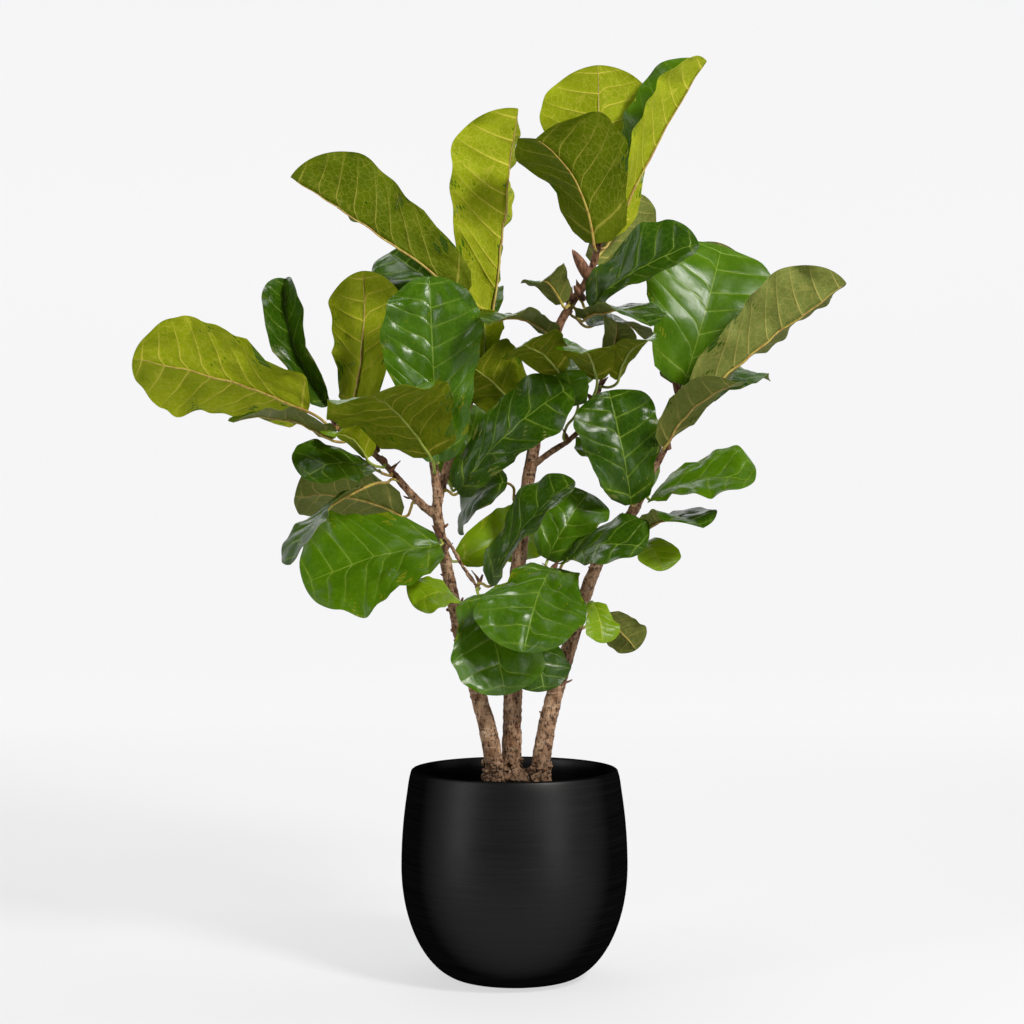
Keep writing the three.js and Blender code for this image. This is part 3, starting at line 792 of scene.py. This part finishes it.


# Which look each leaf has: young is by age, shaded is painted shade, dark is a darker green with painted
# shade, and glowing is a paler underside with painted light
LOOKS = {
    "glossy": "left_upright low_front low_left_down low_middle_up",
    "young": "leader_yellow left_small_yellow left_curled left_back low_right_olive right_small_low",
    "glowing": "top_back top_right leader_pale_up far_left_pale left_pale_up",
    "shaded": "top_front leader_left",
    "dark": (
        "left_inner_dark right_inner_dark right_upright far_left_dark far_left_edge left_dark_small"
        " leader_dark upper_right_fold upper_right_low upper_wavy_left upper_wavy_right twig_dark_up"
        " right_top_dark top_edge low_left_up low_middle_down mid_back_left right_top_back right_top_long"
        " right_olive left_olive_low low_right_pale left_edge_down right_edge_low mid_pale_edge"
    ),
}
RUMPLE = {1.25: "low_front left_upright", 0.35: "top_front top_right top_back right_top_front"}


def listed(node, table, otherwise):
    """The key under which a table names a leaf."""
    name = node.replace("leaf_", "")
    return next((key for key, names in table.items() if name in names.split()), otherwise)


# ---------------------------------------------------------------- wood

VOXEL = 0.0024


def make_trunk(node, material):
    """A CAD trunk remeshed evenly, its joints rounded, and its surface raised into bark."""
    solid = bpy.data.objects.new("raw", NODES[node].data.copy())
    bpy.context.scene.collection.objects.link(solid)
    remesh = solid.modifiers.new("remesh", "REMESH")
    remesh.mode = "VOXEL"
    remesh.voxel_size = VOXEL
    rounding = solid.modifiers.new("rounding", "SMOOTH")
    rounding.iterations = 6
    bpy.context.view_layer.update()
    evaluated = solid.evaluated_get(bpy.context.evaluated_depsgraph_get())
    mesh = bpy.data.meshes.new_from_object(evaluated)
    bpy.data.objects.remove(solid)
    mesh.materials.clear()
    mesh.materials.append(material)
    count = len(mesh.vertices)
    places, normals = np.zeros(count * 3), np.zeros(count * 3)
    mesh.vertices.foreach_get("co", places)
    mesh.vertices.foreach_get("normal", normals)
    places, normals = places.reshape(-1, 3), normals.reshape(-1, 3)
    rise = np.empty(count)
    for i, place in enumerate(places):
        x, y, z = place
        ridges = noise.fractal(Vector((x, y, z * 0.4)) * 90, 0.9, 2.1, 3)
        bands = noise.noise(Vector((x * 22, y * 22, z * 150)))
        knots = noise.noise(Vector((x, y, z)) * 34)
        rough = 1.6 - 1.1 * min(max((z - 0.4) / 0.7, 0), 1)
        flakes = max(noise.noise(Vector((x, y, z * 0.6)) * 210), 0)
        rise[i] = rough * (0.0008 * ridges + 0.0006 * bands + 0.001 * knots + 0.0012 * flakes)
    places = places + normals * (rise + 0.0004)[:, None]
    mesh.vertices.foreach_set("co", places.ravel())
    mesh.shade_smooth()
    mesh.update()
    return new_piece(node.replace("trunk_", "wood_"), mesh, "bark", node)


def husk(place, direction, length, width, dice):
    """A dry papery sheath at a leaf's foot: a pointed curled scale, folded round the stem."""
    rows, columns = 9, 7
    out = np.array(direction, float)
    out /= np.linalg.norm(out)
    lean = unit(np.array([dice.uniform(-0.3, 0.3), dice.uniform(-0.3, 0.3), 1.0]) + 0.5 * out)
    side = unit(np.cross(lean, out))
    face = np.cross(side, lean)
    points = []
    for layer in (0, 1):
        for i in range(rows):
            t = i / (rows - 1)
            half = width * (1 - t) ** 0.7 * (0.7 + 0.6 * math.sin(math.pi * t)) * 0.5
            for j in range(columns):
                s = 2 * j / (columns - 1) - 1
                curl = 0.45 * half * s * s - 0.15 * length * t * t
                crease = 0.0006 * math.sin(9 * s + 5 * t)
                shell = 0.0005 * layer
                points.append(
                    place + lean * (length * t) + side * (half * s * (1 - 0.2 * t))
                    + face * (-curl + crease + shell))
    inner, outer, around = shell_faces(rows, columns)
    return points, [tuple(reversed(face)) for face in inner] + outer + around


class Gathered:
    """Points and faces of many small shapes that make one piece."""

    def __init__(self):
        self.points, self.faces = [], []

    def add(self, points, faces):
        start = len(self.points)
        self.points.extend(points)
        self.faces.extend(tuple(start + i for i in face) for face in faces)

    def piece(self, name, slot, material):
        new_piece(name, new_mesh(name, self.points, self.faces, material), slot)


def make_husks(feet, material, dice):
    """The dry sheaths left where leaves opened: one or two at each leaf's foot on the young wood."""
    husks = Gathered()
    for foot, onward in feet:
        if foot[2] < 0.8 and dice.random() < 0.4:
            continue
        outward = unit(onward - foot)
        for _ in range(dice.choice((1, 2))):
            length = dice.uniform(0.014, 0.034)
            husks.add(*husk(foot - 0.003 * outward, outward, length, 0.4 * length + 0.004, dice))
    husks.piece("husks", "bark", material)


def make_buds(material, dice):
    """A pointed bud in its brown sheath on each growing tip, bent a little to one side."""
    buds = Gathered()
    for node in TRUNKS:
        tip = max((v.co for v in NODES[node].data.vertices), key=lambda co: co.z)
        lean = np.array([dice.uniform(-0.3, 0.3), dice.uniform(-0.3, 0), 1])
        for drop, reach, size in ((0.008, 0.05, 0.0065), (0.062, 0.06, 0.0105), (0.1, 0.04, 0.007)):
            share = np.linspace(0, 1, 14)
            bend = np.outer(share**2, (dice.uniform(-0.006, 0.006), -0.004, 0))
            start = np.array(tip) - (0.2 * drop, 0.1 * drop, drop)
            path = start + np.outer(share * reach, unit(lean)) + bend
            radii = size * (np.sin(np.pi * (0.25 + 0.75 * share)) ** 0.7 * 0.95 + 0.02)
            buds.add(*tube(path, radii, 12))
            lean = lean + (dice.uniform(-0.5, 0.5), dice.uniform(-0.4, 0.2), -0.2)
    buds.piece("buds", "bark", material)


def make_stubs(trunks, material, dice):
    """Short dark stubs where twigs and leaves were shed, up the old wood."""
    stubs = Gathered()
    for trunk in trunks:
        corners = [v for v in trunk.data.vertices if 0.36 < v.co.z < 0.86]
        for corner in dice.sample(corners, 17):
            length = dice.uniform(0.003, 0.008) * (2.2 if dice.random() < 0.15 else 1)
            out = np.array(corner.normal) + (0, 0, dice.uniform(-0.2, 0.7))
            share = np.linspace(-0.4, 1, 6)
            hook = np.outer(share**2, (0, 0, 0.35 * length))
            path = np.array(corner.co) + np.outer(share * length, unit(out)) + hook
            radii = dice.uniform(0.0016, 0.0034) * (1.15 - 0.55 * share**2)
            stubs.add(*tube(path, radii, 7))
    stubs.piece("stubs", "bark", material)


# ---------------------------------------------------------------- pot and soil

POT_STEPS, POT_SEGMENTS = 260, 192  # along the pot's outline and round it
SOIL_ROWS, SOIL_SEGMENTS = 90, 220  # from the soil's edge to its middle and round it

def outline_of(node):
    """A turned CAD node's outline as (radius, height), from the middle of its underside to the top."""
    mesh = merged(node)
    plane = [v for v in mesh.verts if abs(v.co.y) < 1e-5 and v.co.x > -1e-6]
    members = set(plane)
    walk = [min(plane, key=lambda v: (v.co.x > 1e-5, v.co.z))]
    while True:
        onward = [e.other_vert(walk[-1]) for e in walk[-1].link_edges]
        onward = [v for v in onward if v in members and v not in walk]
        if not onward:
            break
        walk.append(onward[0])
    found = [(v.co.x, v.co.z) for v in walk]
    mesh.free()
    return found


def turned(outline, segments):
    """Points and faces of an outline turned about Z. It starts and ends on the axis."""
    points = [(0, 0, outline[0][1])]
    for radius, height in outline[1:-1]:
        points.extend(circle(radius, height, segments))
    points.append((0, 0, outline[-1][1]))
    faces = grid_faces(len(outline) - 2, segments, 1, closed=True)
    return points, faces + end_fans(len(points) - 1, segments)


def make_pot(material):
    """The pot turned again from the CAD node's outline, with a smooth curve through its corners."""
    outline = outline_of("pot")
    wall = np.array(outline[1:-1])
    gaps = np.linalg.norm(np.diff(wall, axis=0), axis=1)
    where = np.concatenate([[0], np.cumsum(gaps)])
    fine = np.linspace(0, where[-1], POT_STEPS)
    fine = np.unique(np.concatenate([fine, where]))
    curve = smooth_through(where, wall, fine)
    points, faces = turned([outline[0], *map(tuple, curve), outline[-1]], POT_SEGMENTS)
    new_piece("pot_shell", new_mesh("pot_shell", points, faces, material), "pot", "pot")


def soil_height(x, y, radius):
    """The lumpy soil's height over its level: crumbs, low mounds and a crease along the pot."""
    near = smoothstep(np.array((radius - math.hypot(x, y)) / 0.02)).item()
    lumps = noise.fractal(Vector((x, y, 3.1)) * 55, 0.9, 2.0, 4)
    mound = 0.017 * math.exp(-(x**2) / 0.0026 - y**2 / 0.0016)
    return near * (0.0026 * lumps + mound + 0.0006) - 0.001 * (1 - near)


def make_soil(material, dice):
    """The CAD soil's sides under a lumpy top, with loose clods on it."""
    *sides, (rim, top) = outline_of("soil")[1:-1]
    points = [(0.0, 0.0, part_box("soil")[0].z)]
    for radius, height in sides:
        points.extend(circle(radius, height, SOIL_SEGMENTS))
    for row in range(SOIL_ROWS):
        for x, y, height in circle(rim * (1 - row / SOIL_ROWS), top, SOIL_SEGMENTS):
            points.append((x, y, height + soil_height(x, y, rim)))
    points.append((0.0, 0.0, top + soil_height(0, 0, rim)))
    faces = grid_faces(len(sides) + SOIL_ROWS, SOIL_SEGMENTS, 1, closed=True)
    faces += end_fans(len(points) - 1, SOIL_SEGMENTS)
    new_piece("soil_bed", new_mesh("soil_bed", points, faces, material), "soil", "soil")
    make_crumbs(material, dice, rim - 0.008, top)


def clod(place, size, dice):
    """A rough lump about as big as size, pressed out of round."""
    mesh = bmesh.new()
    bmesh.ops.create_icosphere(mesh, subdivisions=2, radius=size)
    shape = Vector([dice.uniform(0.6, 1.4) for _ in range(3)])
    seed = Vector([dice.uniform(-50, 50) for _ in range(3)])
    points = []
    for vertex in mesh.verts:
        rough = 1 + 0.5 * noise.noise(vertex.co / size * 1.4 + seed)
        points.append(Vector(a * b for a, b in zip(vertex.co * rough, shape)) + Vector(place))
    faces = [tuple(vertex.index for vertex in face.verts) for face in mesh.faces]
    mesh.free()
    return points, faces


def make_crumbs(material, dice, reach, top):
    """Loose clods of soil that lie on the bed."""
    crumbs = Gathered()
    for _ in range(420):
        distance = reach * math.sqrt(dice.random())
        turn = dice.uniform(0, 2 * math.pi)
        x, y = distance * math.cos(turn), distance * math.sin(turn)
        size = dice.uniform(0.0018, 0.0055)
        crumbs.add(*clod((x, y, top + soil_height(x, y, reach) + 0.3 * size), size, dice))
    crumbs.piece("soil_crumbs", "soil", material)


def make_clump(trunks, top, material, dice):
    """The crust of bark and old roots that climbs each trunk a little way out of the soil."""
    clump = Gathered()
    for trunk in trunks:
        corners = [v for v in trunk.data.vertices if 0.34 < v.co.z < 0.385]
        for corner in dice.sample(corners, 130):
            if dice.random() < (corner.co.z - 0.34) / 0.052:
                continue
            size = dice.uniform(0.002, 0.0052)
            clump.add(*clod(corner.co + corner.normal * 0.4 * size, size, dice))
    for _ in range(260):
        reach, turn = math.sqrt(dice.random()), dice.uniform(0, 2 * math.pi)
        x, y = 0.058 * reach * math.cos(turn), 0.036 * reach * math.sin(turn)
        size = dice.uniform(0.002, 0.0058)
        level = top + soil_height(x, y, 0.15) + dice.uniform(0, 0.008) * (1 - reach)
        clump.add(*clod((x, y, level), size, dice))
    clump.piece("root_clump", "bark", material)


# ---------------------------------------------------------------- the scene


def build():
    add_camera()
    add_lights()
    add_stage()
    looks = leaf_looks()
    feet = []
    for number, node in enumerate(LEAVES):
        materials = looks[listed(node, LOOKS, "plain")]
        rumple = listed(node, RUMPLE, 1)
        feet.append(make_leaf(node, materials, rumple, random.Random(100 + number)))
    bark, dry = bark_material(), husk_material()
    trunks = [make_trunk(node, bark) for node in TRUNKS]
    make_husks(feet, dry, random.Random(7))
    make_buds(dry, random.Random(8))
    make_stubs(trunks, dry, random.Random(9))
    make_clump(trunks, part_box("soil")[1].z, bark, random.Random(10))
    make_pot(pot_material())
    make_soil(soil_material(), random.Random(11))
    bpy.context.scene.view_settings.view_transform = "Standard"


build()
